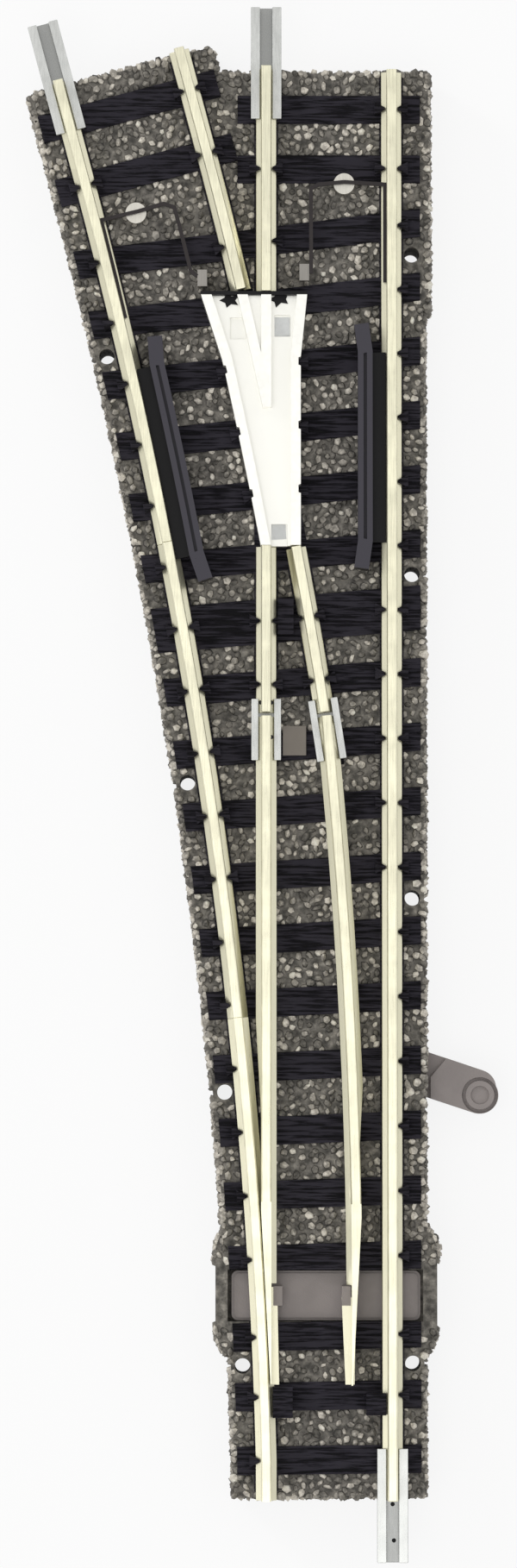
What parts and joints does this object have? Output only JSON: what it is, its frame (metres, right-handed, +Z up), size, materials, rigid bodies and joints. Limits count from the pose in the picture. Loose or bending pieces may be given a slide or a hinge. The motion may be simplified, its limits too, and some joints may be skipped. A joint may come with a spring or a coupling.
{
  "type": "model turnout switch",
  "caption": "Left-hand model railway turnout on a moulded ballast bed, with hinged switch blades, frog, check rails and a hand lever.",
  "frame": {"origin": "middle of the straight route at the toe end of the ballast bed, on the flat underside", "axes": "+Y up the straight route from toe to frog, +Z up, +X to the right, away from the diverging route"},
  "size_m": [0.0368, 0.1213, 0.0071],
  "materials": {
    "ballast": "moulded ballast, speckled",
    "sleeper_black": "moulded wood grain",
    "rail": "nickel silver, drawn",
    "frog_metal": "cast, lightly polished",
    "check_black": "smooth, glossy",
    "joiner_metal": "folded sheet",
    "plate_grey": "smooth",
    "clip_metal": "darkened strip",
    "stud_metal": "turned",
    "tab_metal": "bent strip",
    "brass": "plain",
    "cover_black": "fine spark texture",
    "screw_metal": "plated",
    "throw_grey": "fine spark texture"
  },
  "bodies": {
    "base": {"ballast_bed": "ballast", "sleeper_grid": "sleeper_black", "toe_sleepers": "sleeper_black", "left_stock_rail": "rail", "left_stock_rail_middle": "rail", "left_stock_rail_far": "rail", "right_stock_rail": "rail", "left_closure_rail": "rail", "right_closure_rail": "rail", "frog_casting": "frog_metal", "frog_insulator": "sleeper_black", "straight_inner_rail": "rail", "diverging_inner_rail": "rail", "left_check_rail": "check_black", "right_check_rail": "check_black", "toe_joiner": "joiner_metal", "straight_joiner": "joiner_metal", "diverging_joiner": "joiner_metal", "left_heel_joiner": "joiner_metal", "right_heel_joiner": "joiner_metal", "heel_pins": "joiner_metal", "heel_plate": "plate_grey", "left_feed_clip": "clip_metal", "right_feed_clip": "clip_metal", "feed_studs": "stud_metal", "feed_tabs": "tab_metal", "left_jumper_strip": "brass", "right_jumper_strip": "brass", "bottom_cover": "cover_black", "cover_screws": "screw_metal", "lever_pivot_pin": "brass", "rocker_pivot_pin": "brass"},
    "left_blade": {"left_switch_blade": "rail"},
    "right_blade": {"right_switch_blade": "rail"},
    "tie": {"tie_bar": "throw_grey"},
    "rocker": {"throw_rocker": "screw_metal"},
    "lever": {"throw_lever": "throw_grey"},
    "spring": {"toggle_spring": "screw_metal"}
  },
  "joints": [
    {"name": "lever_turn", "type": "hinge", "parent": "base", "child": "lever", "pos_m": [0.004, 0.0339, 0.0017], "axis": [0, 0, 1], "range_deg": [0, 40]},
    {"name": "rocker_turn", "type": "hinge", "parent": "base", "child": "rocker", "pos_m": [0.004, 0.02621, 0.00085], "axis": [0, 0, 1], "range_deg": [0, 11.73]},
    {"name": "tie_slide", "type": "slide", "parent": "base", "child": "tie", "axis": [1, 0, 0], "range_m": [0, 0.0022]},
    {"name": "left_blade_turn", "type": "hinge", "parent": "base", "child": "left_blade", "pos_m": [-0.0049, 0.0595, 0.00513], "axis": [0, 0, 1], "range_deg": [0, 2.96]},
    {"name": "right_blade_turn", "type": "hinge", "parent": "base", "child": "right_blade", "pos_m": [-0.00014, 0.0595, 0.00513], "axis": [0, 0, 1], "range_deg": [0, 2.96]},
    {"name": "spring_turn", "type": "hinge", "parent": "base", "child": "spring", "pos_m": [0.004, 0.01841, 0.00145], "axis": [0, 0, 1], "range_deg": [-16.59, 0]}
  ],
  "couplings": [
    {"joint": "lever_turn", "follows": "tie_slide", "rad_per_m": 317.33},
    {"joint": "rocker_turn", "follows": "tie_slide", "rad_per_m": 93.035},
    {"joint": "left_blade_turn", "follows": "tie_slide", "rad_per_m": 23.512},
    {"joint": "right_blade_turn", "follows": "tie_slide", "rad_per_m": 23.512},
    {"joint": "spring_turn", "follows": "tie_slide", "rad_per_m": -131.58}
  ]
}
